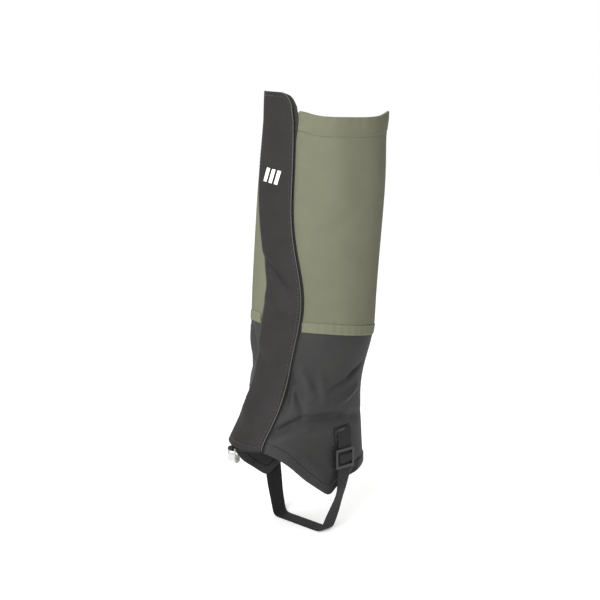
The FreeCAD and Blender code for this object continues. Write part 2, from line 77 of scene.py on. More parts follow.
def triangles(*names):
    """Triangles of CAD nodes as corner positions in millimetres."""
    found = []
    for name in names:
        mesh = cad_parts[name].data
        mesh.calc_loop_triangles()
        corners = np.array([vertex.co for vertex in mesh.vertices]) / MM
        index = np.array([triangle.vertices for triangle in mesh.loop_triangles])
        found.append(corners[index])
    return np.concatenate(found)


def ring_at(shell, level):
    """Setback, half width and half depth of the ellipse that the cloth makes at a height."""
    cut = shell[(shell[:, :, 2].min(1) < level) & (shell[:, :, 2].max(1) > level)]
    points = []
    for first, second in ((0, 1), (1, 2), (2, 0)):
        low, high = cut[:, first], cut[:, second]
        crossing = (low[:, 2] - level) * (high[:, 2] - level) < 0
        low, high = low[crossing], high[crossing]
        share = (level - low[:, 2]) / (high[:, 2] - low[:, 2])
        points.append(low + share[:, None] * (high - low))
    across, along = np.concatenate(points)[:, 0], np.concatenate(points)[:, 1]
    curve = np.polyfit(along, across ** 2, 2)
    ratio = -curve[0]
    setback = curve[1] / (2 * ratio)
    half_width = math.sqrt(curve[2] + ratio * setback ** 2)
    return setback, half_width, half_width / math.sqrt(ratio)


def measured_tube():
    """Heights of the shells with the ellipse at each, lightly smoothed between them.

    The hem and the rim are not level, so whole rings start and end inside them."""
    shell = triangles("upper_shell", "lower_shell")
    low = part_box("lower_shell")[0].z / MM + WHOLE_ABOVE_HEM
    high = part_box("upper_shell")[1].z / MM - WHOLE_BELOW_RIM
    levels = np.linspace(low, high, 64)
    rings = np.array([ring_at(shell, level) for level in levels])
    weights = np.exp(-0.5 * (np.arange(-3, 4) / 1.2) ** 2)
    weights /= weights.sum()
    smooth = []
    for column in rings.T:
        slope = (column[0] - column[1], column[-1] - column[-2])
        before = column[0] + slope[0] * np.arange(3, 0, -1)
        after = column[-1] + slope[1] * np.arange(1, 4)
        smooth.append(np.convolve(np.concatenate([before, column, after]), weights, "valid"))
    rows = np.array(smooth).T
    levels = np.concatenate([levels, [levels[-1] + BEYOND_RIM]])
    climb = (rows[-1] - rows[-4]) / (3 * (levels[1] - levels[0]))
    return levels, np.vstack([rows, rows[-1] + 0.5 * climb * BEYOND_RIM])


LEVELS, RINGS = measured_tube()


def ring(height):
    """Setback, half width and half depth of mid-cloth at one or many heights."""
    return tuple(np.interp(height, LEVELS, RINGS[:, k]) for k in range(3))


def soft_step(value):
    """Smooth rise from 0 to 1."""
    value = np.clip(value, 0, 1)
    return value * value * (3 - 2 * value)


LEG_RADIUS = 58.0

# Folds of the worn cloth: the angle and height of both ends, width and depth in millimetres.
# A negative depth is a valley.
SHELL_FOLDS = [
    (33, 180, 36, 144, 3.4, -4.6),
    (34, 121, 56, 133, 4.4, -5.2),
    (56, 133, 98, 131, 5.0, -5.6),
    (98, 131, 138, 121, 5.2, -4.2),
    (36, 112, 62, 121, 6.0, 3.4),
    (62, 121, 100, 119, 6.5, 2.8),
    (38, 171, 54, 142, 3.8, -3.7),
    (43, 183, 60, 156, 5.0, 3.6),
    (114, 183, 92, 168, 3.6, -4.0),
    (92, 168, 77, 161, 3.1, -3.1),
    (117, 158, 86, 144, 3.8, 3.4),
    (64, 176, 74, 150, 4.2, 2.0),
    (128, 74, 112, 54, 3.4, -2.5),
    (84, 70, 70, 92, 5.1, 2.3),
    (150, 178, 190, 165, 4.7, -3.7),
    (160, 145, 205, 150, 4.2, -4.0),
    (150, 128, 212, 128, 4.2, -3.7),
    (195, 195, 230, 172, 4.2, -3.1),
    (222, 160, 262, 141, 4.2, -4.0),
    (262, 141, 318, 133, 4.7, -3.7),
    (240, 182, 280, 168, 3.8, 2.9),
    (285, 178, 312, 150, 3.4, -3.4),
    (298, 185, 322, 160, 3.8, 2.5),
    (230, 96, 262, 84, 5.1, 2.3),
    (172, 108, 186, 74, 4.2, -2.8),
    (330, 232, 342, 196, 3.0, -2.8),
    (322, 222, 334, 190, 3.4, 2.2),
]
FLAP_FOLDS = [
    (-4, 302, 24, 268, 4.5, -4.1),
    (6, 262, 26, 244, 8.1, 4.1),
    (-14, 205, 14, 184, 8.1, -2.6),
    (-18, 150, 6, 130, 9.9, 3.5),
    (-8, 120, 16, 112, 7.2, -1.7),
]


def folds(theta, height, creases):
    """How far the cloth stands out at each place because of a list of folds."""
    total = np.zeros_like(theta)
    for start_angle, start_z, end_angle, end_z, width, depth in creases:
        start = np.array([math.radians(start_angle) * LEG_RADIUS, start_z])
        along = np.array([math.radians(end_angle) * LEG_RADIUS, end_z]) - start
        length = np.hypot(*along)
        across = theta * LEG_RADIUS - start[0]
        up = height - start[1]
        place = (across * along[0] + up * along[1]) / length ** 2
        reach = np.clip(place, 0, 1)
        away = np.hypot(across - reach * along[0], up - reach * along[1])
        fade = 0.35 + 0.65 * np.sin(math.pi * np.clip(reach, 0.08, 0.92))
        total += depth * fade * np.exp(-(away / width) ** 2)
    return total


# Long waves: depth, how many round the leg, turn for each millimetre of height, and phase.
LONG_WAVES = [(0.9, 3, 0.006, 0.5), (0.6, 5, -0.011, 2.1), (0.35, 9, 0.017, 4.0)]


def drape(theta, height):
    """Standing-out of the shell cloth in millimetres: long waves, folds and gathers."""
    turn = np.mod(theta, 2 * math.pi)
    upper = soft_step((height - SEAM_MIDDLE + 6) / 40)
    waves = sum(depth * np.sin(count * turn + slant * height + phase)
                for depth, count, slant, phase in LONG_WAVES)
    ripple = 0.25 * np.sin(2 * turn + 0.09 * height + 1.1) * np.sin(7 * turn + 0.05 * height)
    rim_pull = soft_step((height - RIM_MIDDLE + 30) / 30) * 0.12 * np.sin(34 * turn)
    away = height - seam_height(theta)
    pucker = 0.16 * np.exp(-(away / 9) ** 2) * np.sin(46 * turn + 0.7 * np.sin(5 * turn))
    band = np.exp(-((height - ELASTIC_MIDDLE) / 13) ** 2)
    behind = soft_step((np.abs(np.mod(turn - math.pi, 2 * math.pi) - math.pi) - 2.3) / 0.4)
    gather = band * behind * (0.75 * np.sin(30 * turn + 0.8 * np.sin(3 * turn)) - 1.2)
    creases, flap_creases = (
        folds(turn, height, table) + folds(turn - 2 * math.pi, height, table)
        for table in (SHELL_FOLDS, FLAP_FOLDS))
    flare = 0.9 * soft_step((height - RIM_MIDDLE + 26) / 26) * near(theta, RIM_PEAK, 9)
    under_strap = np.minimum(sum(near(theta, degrees, 17) for degrees in STRAP_TURNS), 0.8)
    pressed = -4.2 * soft_step((82 - height) / 26) * under_strap
    total = upper * waves + (1 - upper) * (0.5 * waves + creases + ripple) + flap_creases
    return total + rim_pull + pucker + gather + flare + pressed


def place(theta, height, off):
    """Positions in millimetres of points standing off the cloth's middle, and their normals."""
    theta = np.asarray(theta, float)
    height = np.asarray(height, float) + 0 * theta
    setback, half_width, half_depth = ring(height)
    stand = off + drape(theta, height)
    normal = np.stack([np.sin(theta) / half_width, -np.cos(theta) / half_depth,
                       np.zeros_like(height)], -1)
    normal /= np.linalg.norm(normal, axis=-1, keepdims=True)
    base = np.stack([half_width * np.sin(theta), setback - half_depth * np.cos(theta),
                     height], -1)
    return base + normal * np.asarray(stand)[..., None], normal


# ------------------------------------------------------------------ edges read from the frame

HALVINGS, RAY_REACH = 14, 400


def tree_of(*names):
    """Ray-casting tree of CAD nodes, in millimetres."""
    corners = triangles(*names).reshape(-1, 3)
    faces = np.arange(len(corners)).reshape(-1, 3)
    return BVHTree.FromPolygons([Vector(c) for c in corners], faces.tolist())


def edge_heights(tree, inside, outside):
    """Height of a shell's edge at many angles, halving between a height on and off it."""
    angles = np.linspace(math.radians(6), math.radians(354), 117)
    heights = []
    for theta in angles:
        on, off = inside, outside
        for _ in range(HALVINGS):
            middle = (on + off) / 2
            setback, half_width, half_depth = (float(v) for v in ring(middle))
            way = Vector((half_width * math.sin(theta), -half_depth * math.cos(theta), 0))
            hit = tree.ray_cast(Vector((0, setback, middle)), way.normalized(), RAY_REACH)
            on, off = (middle, off) if hit[0] else (on, middle)
        heights.append(on)
    return angles, np.array(heights)


def around(table):
    """Function of the angle round the leg from a table of angles and values."""
    angles, values = table
    angles = np.concatenate([angles - 2 * math.pi, angles, angles + 2 * math.pi])
    values = np.tile(values, 3)

    def value_at(theta):
        """Value at one or many angles."""
        return np.interp(theta, angles, values)
    return value_at


lower_tree = tree_of("lower_shell")
upper_tree = tree_of("upper_shell")
SHELL_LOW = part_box("lower_shell")[0].z / MM
SHELL_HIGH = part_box("upper_shell")[1].z / MM
SEAM_MIDDLE = (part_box("upper_shell")[0].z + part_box("lower_shell")[1].z) / 2 / MM
RIM_MIDDLE = SHELL_HIGH - 4
ELASTIC_MIDDLE = (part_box("ankle_elastic")[0].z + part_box("ankle_elastic")[1].z) / 2 / MM
SEAM_LIFT = 4.0

cut_hem = around(edge_heights(lower_tree, SEAM_MIDDLE - 30, SHELL_LOW - 20))
cut_rim = around(edge_heights(upper_tree, SEAM_MIDDLE + 60, SHELL_HIGH + 20))
plain_seam = around(edge_heights(lower_tree, SEAM_MIDDLE - 60, SEAM_MIDDLE + 60))

# How the empty rim sags from its cut line: angle, and drop in millimetres.
RIM_SAG = [(0, -0.5), (24, -1.0), (38, 2.6), (52, 2.6), (70, 1.3), (88, 0.6), (104, -0.6),
           (118, -1.8), (131, -4.8), (143, -1.5), (158, 3.0), (190, 8.5), (225, 9.0),
           (262, 6.5), (295, 4.0), (322, 0.5), (345, -0.5), (360, -0.5)]


# Angles of the straps, of the hem's points beside them and of its rises on the toe side.
STRAP_TURNS, HEM_POINTS, HEM_RISES = (92, 268), (95, 265), (81, 279)
# How far the hem is pulled down at its points, up beside them, and down at the heel.
HEM_PULL, HEM_LIFT, HEEL_DROP = 4.6, 2.6, 8.0
# Angle of the rim's peak, where the cloth also flares out.
RIM_PEAK = 131


def near(theta, degrees, spread):
    """1 at an angle, fading to 0 over a spread, both in degrees."""
    gap = np.mod(theta - math.radians(degrees) + math.pi, 2 * math.pi) - math.pi
    return np.exp(-(gap / math.radians(spread)) ** 2)


def rim_height(theta):
    """Rim of the worn gaiter: the cut line, sagging where no leg holds it up."""
    turn = np.degrees(np.mod(theta, 2 * math.pi))
    sag = 0
    for shift in np.linspace(-6, 6, 7):
        sag = sag + np.interp(np.mod(turn + shift, 360), *zip(*RIM_SAG)) / 7
    return cut_rim(theta) - sag


def hem_height(theta):
    """Hem of the worn gaiter: pulled down to a point at both straps and lower at the heel."""
    pulled = sum(near(theta, degrees, 6) for degrees in HEM_POINTS)
    lifted = sum(near(theta, degrees, 8) for degrees in HEM_RISES)
    turn = np.degrees(np.mod(theta, 2 * math.pi))
    behind = soft_step((turn - 98) / 42) * soft_step((262 - turn) / 42)
    return cut_hem(theta) - HEM_PULL * pulled + HEM_LIFT * lifted - HEEL_DROP * behind


def seam_height(theta):
    """Height of the seam, which rides up a little on the inner side next to the flap."""
    lift = np.exp(-((np.mod(theta, 2 * math.pi) - math.radians(335)) / 0.55) ** 2)
    return plain_seam(theta) + SEAM_LIFT * lift


def edge_across(tree, level, on, off):
    """How far across a front piece reaches at a height, halving between on and off it."""
    for _ in range(HALVINGS):
        middle = (on + off) / 2
        hit = tree.ray_cast(Vector((middle, -RAY_REACH, level)), Vector((0, 1, 0)), RAY_REACH)
        on, off = (middle, off) if hit[0] else (on, middle)
    return on


def front_edge(name, on, off):
    """Function of height that gives one upright edge of a front piece."""
    tree = tree_of(name)
    low, high = (corner.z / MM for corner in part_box(name))
    levels = np.linspace(low + 1.5, high - 1.5, 48)
    reach = [edge_across(tree, level, on, off) for level in levels]
    curve = np.polynomial.Polynomial.fit(levels, reach, 9)

    def reach_at(height):
        """Distance across at one or many heights."""
        return curve(np.clip(height, levels[0], levels[-1]))
    return reach_at


FOLD_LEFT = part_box("flap_sewn_side")[1].x / MM
FOLD_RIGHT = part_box("flap_free_side")[0].x / MM
FLAP_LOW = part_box("flap_sewn_side")[0].z / MM
FLAP_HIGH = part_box("flap_sewn_side")[1].z / MM
# Height where the sewn edge is pulled most; width of cloth that bends when the flap opens.
FLAP_SWELL, FOLD_ROLL = 272.0, 20.0
cad_sewn_edge = front_edge("flap_sewn_side", FOLD_LEFT - 0.5, -60)
cad_free_edge = front_edge("flap_free_side", FOLD_RIGHT + 1.5, 60)
cad_placket_edge = front_edge("front_placket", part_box("front_placket")[0].x / MM + 1, 60)


def sewn_edge(height):
    """Sewn edge of the flap, which the worn cloth pulls towards the fold at the calf."""
    pull = np.exp(-((height - FLAP_SWELL) / 26) ** 2)
    return cad_sewn_edge(height) + 4.2 * pull


def free_edge(height):
    """Free edge of the flap, a little in from its cut edge where the cloth turns over."""
    return cad_free_edge(height) - 0.4


def placket_edge(height):
    """Edge of the placket that shows, which draws in under the flap below the rim."""
    below = soft_step((SHELL_HIGH - 8 - height) / 26)
    return cad_placket_edge(height) - 2.4 * below


def angle_of(across, height, off=0.0):
    """Angle round the leg of a point on the front at a distance across, standing off."""
    return np.arcsin(np.clip(across / (ring(height)[1] + off), -1, 1))


# ------------------------------------------------------------------ materials

def linear(colour):
    """Linear colour from an sRGB hex value such as 858770."""
    parts = [int(colour[k:k + 2], 16) / 255 for k in (0, 2, 4)]
    return tuple(c / 12.92 if c <= 0.04045 else ((c + 0.055) / 1.055) ** 2.4
                 for c in parts) + (1.0,)


def add_node(tree, kind, settings=None, links=None):
    """One node with its settings, and with values or other sockets put into its inputs."""
    node = tree.nodes.new(kind)
    for key, value in (settings or {}).items():
        setattr(node, key, value)
    for key, value in (links or {}).items():
        if isinstance(value, bpy.types.NodeSocket):
            tree.links.new(value, node.inputs[key])
        else:
            node.inputs[key].default_value = value
    return node


def start_material(name):
    """New node material with its tree emptied down to the output."""
    material = bpy.data.materials.new(name)
    material.use_nodes = True
    tree = material.node_tree
    tree.nodes.clear()
    return material, tree


def finish_material(tree, base, roughness, bump, steady):
    """Principled shader with a base colour, roughness and bump, and fixed socket values."""
    links = {"Base Color": base, "Roughness": roughness}
    if bump is not None:
        links["Normal"] = bump
    shader = add_node(tree, "ShaderNodeBsdfPrincipled", links=links)
    for key, value in steady.items():
        shader.inputs[key].default_value = value
    add_node(tree, "ShaderNodeOutputMaterial", links={"Surface": shader.outputs["BSDF"]})


def thread_height(tree, place_mm, warp_mm, weft_mm):
    """Plain weave as a height from 0 to 1: warp and weft threads that take turns on top."""
    parts = add_node(tree, "ShaderNodeSeparateXYZ", links={"Vector": place_mm})
    waves = []
    for axis, spacing in (("X", warp_mm), ("Y", weft_mm)):
        turn = add_node(tree, "ShaderNodeMath", {"operation": "MULTIPLY"},
                        {0: parts.outputs[axis], 1: math.pi / spacing})
        waves.append(add_node(tree, "ShaderNodeMath", {"operation": "SINE"},
                              {0: turn.outputs[0]}))
    mixed = add_node(tree, "ShaderNodeMath", {"operation": "MULTIPLY"},
                     {0: waves[0].outputs[0], 1: waves[1].outputs[0]})
    return add_node(tree, "ShaderNodeMath", {"operation": "MULTIPLY_ADD"},
                    {0: mixed.outputs[0], 1: 0.5, 2: 0.5}).outputs[0]


def woven(name, colour, paler_tone, dark, thread_mm, roughness, sheen, weave_depth, grain_mm=26.0):
    """Woven cloth: threads at their spacing, faint cloudy shade, random slub tone and painted
    highlight on thread crowns.
    """
    material, tree = start_material(name)
    place_mm = add_node(tree, "ShaderNodeAttribute", {"attribute_name": "thread_mm"}
                        ).outputs["Vector"]
    weave = thread_height(tree, place_mm, thread_mm[0], thread_mm[1])
    cloud = add_node(tree, "ShaderNodeTexNoise", links={
        "Vector": place_mm, "Scale": 1 / grain_mm, "Detail": 4.0, "Roughness": 0.55})
    slub = add_node(tree, "ShaderNodeTexNoise", links={
        "Vector": place_mm, "Scale": 1 / (1.7 * thread_mm[0]), "Detail": 2.0})
    shade = add_node(tree, "ShaderNodeMapRange", links={
        "Value": cloud.outputs["Fac"], "From Min": 0.3, "From Max": 0.7})
    base = add_node(tree, "ShaderNodeMix", {"data_type": "RGBA"}, {
        "Factor": shade.outputs[0], 6: linear(dark), 7: linear(colour)})
    threads = add_node(tree, "ShaderNodeMath", {"operation": "MULTIPLY_ADD"},
                       {0: weave, 1: 0.12, 2: 0.0})
    slub_tone_and_crown_highlight = add_node(tree, "ShaderNodeMath", {"operation": "MULTIPLY_ADD"},
                       {0: slub.outputs["Fac"], 1: 0.45, 2: threads.outputs[0]})
    # Paler colour on slubs and thread crowns: random slub tone plus painted highlight on the
    # raised threads.
    lit = add_node(tree, "ShaderNodeMix", {"data_type": "RGBA"}, {
        "Factor": slub_tone_and_crown_highlight.outputs[0], 6: base.outputs[2], 7: linear(paler_tone)})
    height = add_node(tree, "ShaderNodeMath", {"operation": "MULTIPLY_ADD"},
                      {0: slub.outputs["Fac"], 1: 0.6, 2: weave})
    bump = add_node(tree, "ShaderNodeBump", links={
        "Strength": weave_depth, "Distance": 0.25 * MM, "Height": height.outputs[0]})
    rough = add_node(tree, "ShaderNodeMapRange", links={
        "Value": slub.outputs["Fac"], "To Min": roughness - 0.05, "To Max": roughness + 0.08})
    finish_material(tree, lit.outputs[2], rough.outputs[0], bump.outputs[0],
                    {"Sheen Weight": sheen, "Sheen Roughness": 0.45,
                     "Specular IOR Level": 0.14})
    return material


def ribbed(name, colour, paler_tone, rib_mm, roughness, rib_depth):
    """Narrow-loom tape or webbing: ribs across it, fine chevrons along it, fuzzy high places."""
    material, tree = start_material(name)
    place_mm = add_node(tree, "ShaderNodeAttribute", {"attribute_name": "thread_mm"}
                        ).outputs["Vector"]
    weave = thread_height(tree, place_mm, rib_mm * 1.6, rib_mm)
    fuzz = add_node(tree, "ShaderNodeTexNoise", links={
        "Vector": place_mm, "Scale": 1.4, "Detail": 3.0})
    lift = add_node(tree, "ShaderNodeMath", {"operation": "MULTIPLY"},
                    {0: weave, 1: fuzz.outputs["Fac"]})
    base = add_node(tree, "ShaderNodeMix", {"data_type": "RGBA"}, {
        "Factor": lift.outputs[0], 6: linear(colour), 7: linear(paler_tone)})
    bump = add_node(tree, "ShaderNodeBump", links={
        "Strength": rib_depth, "Distance": 0.35 * MM, "Height": weave})
    rough = add_node(tree, "ShaderNodeMapRange", links={
        "Value": fuzz.outputs["Fac"], "To Min": roughness - 0.06, "To Max": roughness + 0.06})
    finish_material(tree, base.outputs[2], rough.outputs[0], bump.outputs[0],
                    {"Sheen Weight": 0.0, "Sheen Roughness": 0.5,
                     "Specular IOR Level": 0.3})
    return material


def piled(name, colour, tip, pitch_mm, depth):
    """Hook or loop tape: a field of small bristles or loops with paler tips."""
    material, tree = start_material(name)
    place_mm = add_node(tree, "ShaderNodeAttribute", {"attribute_name": "thread_mm"}
                        ).outputs["Vector"]
    cells = add_node(tree, "ShaderNodeTexVoronoi", links={
        "Vector": place_mm, "Scale": 1 / pitch_mm})
    base = add_node(tree, "ShaderNodeMix", {"data_type": "RGBA"}, {
        "Factor": cells.outputs["Distance"], 6: linear(tip), 7: linear(colour)})
    bump = add_node(tree, "ShaderNodeBump", {"invert": True}, {
        "Strength": depth, "Distance": 0.6 * MM, "Height": cells.outputs["Distance"]})
    rough = add_node(tree, "ShaderNodeMapRange", links={
        "Value": cells.outputs["Distance"], "To Min": 0.5, "To Max": 0.9})
    finish_material(tree, base.outputs[2], rough.outputs[0], bump.outputs[0],
                    {"Sheen Weight": 0.3})
    return material


def solid_finish(name, colour, paler_tone, grain_mm, roughness, depth, steady):
    """Moulded, printed or pressed surface: fine grain and slightly uneven polish."""
    material, tree = start_material(name)
    spot = add_node(tree, "ShaderNodeTexCoord").outputs["Object"]
    grain = add_node(tree, "ShaderNodeTexNoise", links={
        "Vector": spot, "Scale": 1 / (grain_mm * MM), "Detail": 3.0})
    cloud = add_node(tree, "ShaderNodeTexNoise", links={
        "Vector": spot, "Scale": 1 / (9 * MM), "Detail": 2.0})
    base = add_node(tree, "ShaderNodeMix", {"data_type": "RGBA"}, {
        "Factor": cloud.outputs["Fac"], 6: linear(colour), 7: linear(paler_tone)})
    bump = add_node(tree, "ShaderNodeBump", links={
        "Strength": depth, "Distance": 0.05 * MM, "Height": grain.outputs["Fac"]})
    rough = add_node(tree, "ShaderNodeMapRange", links={
        "Value": cloud.outputs["Fac"], "To Min": roughness - 0.07, "To Max": roughness + 0.09})
    finish_material(tree, base.outputs[2], rough.outputs[0], bump.outputs[0], steady)
    return material


# Olive polyester: matt plain weave; its soft grey-green lift on slubs and thread crowns is random
# slub tone plus painted highlight.
# Real threads are 0.3 mm apart, drawn at 1.1 mm so that the weave shows.
OLIVE = woven("olive_polyester_plain_weave", "616251", "6F7060", "5A5B4B", (1.1, 1.1),
              0.85, 0.0, 0.3)
# The same cloth turned over three times at the seam, so it lies flatter; painted paler than the
# shell as a painted highlight on the band.
OLIVE_BAND_PAINTED_LIGHTER = woven("olive_polyester_turned_band_painted_lighter", "656655", "747563", "5E5F4E", (1.1, 1.1),
                   0.82, 0.0, 0.3)
# Coated polyester: dark grey plain weave, a little shine on the folds from the coating.
CHARCOAL = woven("charcoal_coated_polyester", "2D2D2D", "3E3E3D", "262626", (1.3, 1.1),
                 0.62, 0.0, 0.5)
# Flap cloth: the same weave, stiffened; its slightly warmer paler colour on slubs and thread
# crowns is random slub tone plus painted highlight.
CHARCOAL_FLAP = woven("charcoal_stiffened_polyester", "201F1F", "343231", "191818", (1.3, 1.1),
                      0.6, 0.0, 0.45)
# Folded binding tape: fine ribs, dull black.
BINDING = ribbed("black_ribbed_binding", "1E1E1D", "343433", 1.0, 0.78, 0.4)
# Elastic: coarse ribs along its length.
ELASTIC = ribbed("black_knitted_elastic", "141414", "262626", 1.6, 0.8, 0.6)
# Polyester webbing: deep ribs, black with greyed high threads.
WEBBING = ribbed("black_polyester_webbing", "121212", "272726", 1.3, 0.72, 0.7)
# Loop tape: soft pile.  Hook tape: stiff bristles with brighter tips.
LOOP_PILE = piled("black_nylon_loop_pile", "141414", "303030", 1.1, 0.6)
HOOK_PILE = piled("black_nylon_hook_bristles", "0E0E0E", "3C3C3C", 1.5, 0.9)
# Bonded thread: round, a little glossy, so that each stitch catches the light.
DARK_THREAD = solid_finish("black_bonded_thread", "161616", "262625", 0.4, 0.5, 0.5,
                           {"Sheen Weight": 0.2})
OLIVE_THREAD = solid_finish("olive_bonded_thread", "6C6E56", "7E8068", 0.4, 0.55, 0.5,
                            {"Sheen Weight": 0.2})
# Retroreflective piping: dark grey, fine-grained, a shade paler than the cloth beside it.
PIPING = solid_finish("grey_reflective_piping", "2B2B2A", "3B3B39", 0.3, 0.45, 0.4,
                      {"Specular IOR Level": 0.5})
# Screen-printed reflective ink: off-white film with a grain of glass beads.
INK = solid_finish("offwhite_reflective_ink", "DEDEDA", "F2F2EE", 0.25, 0.5, 0.5,
                   {"Specular IOR Level": 0.5})
# Moulded acetal: black, satin from the mould, sharper glints on the edges.
ACETAL = solid_finish("black_moulded_acetal", "101011", "1C1C1D", 0.35, 0.27, 0.35,
                      {"IOR": 1.48, "Specular IOR Level": 0.5})
# Pressed and tumbled steel: bright, with soft scratches.
STEEL = solid_finish("tumbled_pressed_steel", "B9BAB8", "D0D0CC", 0.5, 0.3, 0.5,
                     {"Metallic": 1.0})


# ------------------------------------------------------------------ mesh makers

def make_object(name, positions, faces, thread, material):
    """Smooth mesh object from positions in millimetres, with weave places on its points."""
    mesh = bpy.data.meshes.new(name)
    mesh.from_pydata((np.asarray(positions) * MM).tolist(), [], faces)
    layer = mesh.attributes.new("thread_mm", "FLOAT_VECTOR", "POINT")
    layer.data.foreach_set("vector", np.asarray(thread, np.float32).ravel())
    mesh.materials.append(material)
    mesh.polygons.foreach_set("use_smooth", [True] * len(mesh.polygons))
    mesh.update()
    piece = bpy.data.objects.new(name, mesh)
    bpy.context.scene.collection.objects.link(piece)
    return piece


def grid_faces(rows, columns, start=0, flip=False):
    """Quads of a grid of points stored row by row."""
    index = np.arange(rows * columns).reshape(rows, columns) + start
    quads = np.stack([index[:-1, :-1], index[:-1, 1:], index[1:, 1:], index[1:, :-1]], -1)
    quads = quads.reshape(-1, 4)
    return (quads[:, ::-1] if flip else quads).tolist()


def ring_faces(rows, sides):
    """Quads between closed rings of points, stored ring by ring."""
    faces = []
    for r in range(rows - 1):
        for k in range(sides):
            after = (k + 1) % sides
            faces.append([r * sides + k, r * sides + after,
                          (r + 1) * sides + after, (r + 1) * sides + k])
    return faces


def cloth(name, theta, height, off, thick, material):
    """Closed piece of cloth over a grid of angles and heights, with rounded edges.

    off is the distance of its middle from the shell's middle; thick is its thickness."""
    rows, columns = theta.shape
    row_share = np.linspace(0, 1, rows)[:, None] * np.ones((1, columns))
    column_share = np.linspace(0, 1, columns)[None, :] * np.ones((rows, 1))
    edge = np.minimum(np.minimum(row_share, 1 - row_share) * rows,
                      np.minimum(column_share, 1 - column_share) * columns)
    round_off = np.clip(0.35 + 0.65 * edge, 0, 1)
    outer, _ = place(theta, height, off + 0.5 * thick * round_off)
    inner, _ = place(theta, height, off - 0.5 * thick * round_off)
    count = rows * columns
    faces = grid_faces(rows, columns) + grid_faces(rows, columns, count, flip=True)
    rim = [r * columns for r in range(rows)]
    rim += [(rows - 1) * columns + c for c in range(1, columns)]
    rim += [r * columns + columns - 1 for r in range(rows - 2, -1, -1)]
    rim += [c for c in range(columns - 2, 0, -1)]
    for k, point in enumerate(rim):
        after = rim[(k + 1) % len(rim)]
        faces.append([point, point + count, after + count, after][::-1])
    width = theta * ring(height)[1]
    thread = np.stack([width, height, 0 * width], -1).reshape(-1, 3)
    return make_object(name, np.concatenate([outer.reshape(-1, 3), inner.reshape(-1, 3)]),
                       faces, np.concatenate([thread, thread]), material)


def tube(name, path, across, half_wide, half_thick, material, sides=12):
    """Strip or cord of rounded section along a path in millimetres.

    across gives the direction of its width at each point."""
    path = np.asarray(path, float)
    across = np.broadcast_to(np.asarray(across, float), path.shape)
    along = np.gradient(path, axis=0)
    along /= np.linalg.norm(along, axis=1, keepdims=True)
    out = np.cross(across, along)
    out /= np.linalg.norm(out, axis=1, keepdims=True)
    turn = np.linspace(0, 2 * math.pi, sides, endpoint=False)
    wide = np.sign(np.cos(turn)) * np.abs(np.cos(turn)) ** 0.35
    thick = np.sign(np.sin(turn)) * np.abs(np.sin(turn)) ** 0.6
    wide_mm = np.broadcast_to(half_wide, len(path))[:, None, None]
    thick_mm = np.broadcast_to(half_thick, len(path))[:, None, None]
    points = path[:, None] + across[:, None] * wide[None, :, None] * wide_mm
    points = points + out[:, None] * thick[None, :, None] * thick_mm
    length = np.concatenate([[0], np.cumsum(np.linalg.norm(np.diff(path, axis=0), axis=1))])
    thread = np.stack([wide[None, :] * wide_mm[:, :, 0], length[:, None] + 0 * wide[None, :],
                       0 * wide[None, :] + 0 * length[:, None]], -1)
    faces = ring_faces(len(path), sides)
    faces.append(list(range(sides))[::-1])
    faces.append([(len(path) - 1) * sides + k for k in range(sides)])
    return make_object(name, points.reshape(-1, 3), faces, thread.reshape(-1, 3), material)


def stitches(name, path, normals, material, long_mm=2.8, gap_mm=1.3, thick_mm=0.3, dash=None):
    """Row of separate stitches along a path in millimetres, each a small plump thread."""
    path, normals = np.asarray(path, float), np.asarray(normals, float)
    steps = np.linalg.norm(np.diff(path, axis=0), axis=1)
    length = np.concatenate([[0], np.cumsum(steps)])
    pitch = long_mm + gap_mm
    count = max(1, int(length[-1] // pitch))
    centres = (np.arange(count) + 0.5) * length[-1] / count

    def sample(table, at):
        """Rows of a table at distances along the path."""
        return np.stack([np.interp(at, length, table[:, k]) for k in range(3)], -1)

    middle = sample(path, centres)
    along = sample(path, centres + 0.5) - sample(path, centres - 0.5)
    along /= np.linalg.norm(along, axis=1, keepdims=True)
    up = sample(normals, centres)
    if dash is not None:
        along = along * math.cos(dash) + np.cross(up, along) * math.sin(dash)
    side = np.cross(up, along)
    side /= np.linalg.norm(side, axis=1, keepdims=True)
    rings, sides = 5, 6
    body = np.array([(-math.cos(angle) * long_mm / 2, math.sin(angle) * math.cos(turn),
                      math.sin(angle) * math.sin(turn))
                     for angle in np.linspace(0.12, 0.88, rings) * math.pi
                     for turn in np.linspace(0, 2 * math.pi, sides, endpoint=False)])
    shell = [face[::-1] for face in ring_faces(rings, sides)]
    shell.append(list(range(sides)))
    shell.append([(rings - 1) * sides + c for c in range(sides - 1, -1, -1)])
    points, faces = [], []
    for k in range(count):
        points.append(middle[k] + body[:, :1] * along[k] + body[:, 1:2] * side[k] * thick_mm
                      + body[:, 2:] * up[k] * thick_mm)
        faces += [[point + k * len(body) for point in face] for face in shell]
    points = np.concatenate(points)
    return make_object(name, points, faces, points, material)


def seam_row(name, theta, height, off, material, **sizes):
    """Row of stitches lying on the cloth along angles and heights."""
    positions, normals = place(theta, height, off)
    return stitches(name, positions, normals, material, **sizes)


def put(piece, body, slot, *nodes):
    """Let a piece ride on a body and stand for CAD nodes; slot is not used."""
    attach(piece, body)
    if nodes:
        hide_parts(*nodes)


def put_across_fold(piece, slot, *nodes):
    """Fix a piece of the flap where it lies and stand for CAD nodes; slot is not used."""
    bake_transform(piece)
    if nodes:
        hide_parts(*nodes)


# ------------------------------------------------------------------ grids and swept sections

def front_gap(height):
    """Angles in degrees from the placket's edge round the back to the flap's sewn edge."""
    start = math.degrees(angle_of(placket_edge(height) + 0.4, height))
    end = 360 + math.degrees(angle_of(sewn_edge(height) - 0.4, height))
    return start, end


def leg_grid(low, high, rows, columns, start, end):
    """Angles and heights between two edges that are functions of the angle."""
    theta = np.radians(np.linspace(start, end, columns))[None, :] * np.ones((rows, 1))
    share = np.linspace(0, 1, rows)[:, None]
    return theta, low(theta) + (high(theta) - low(theta)) * share


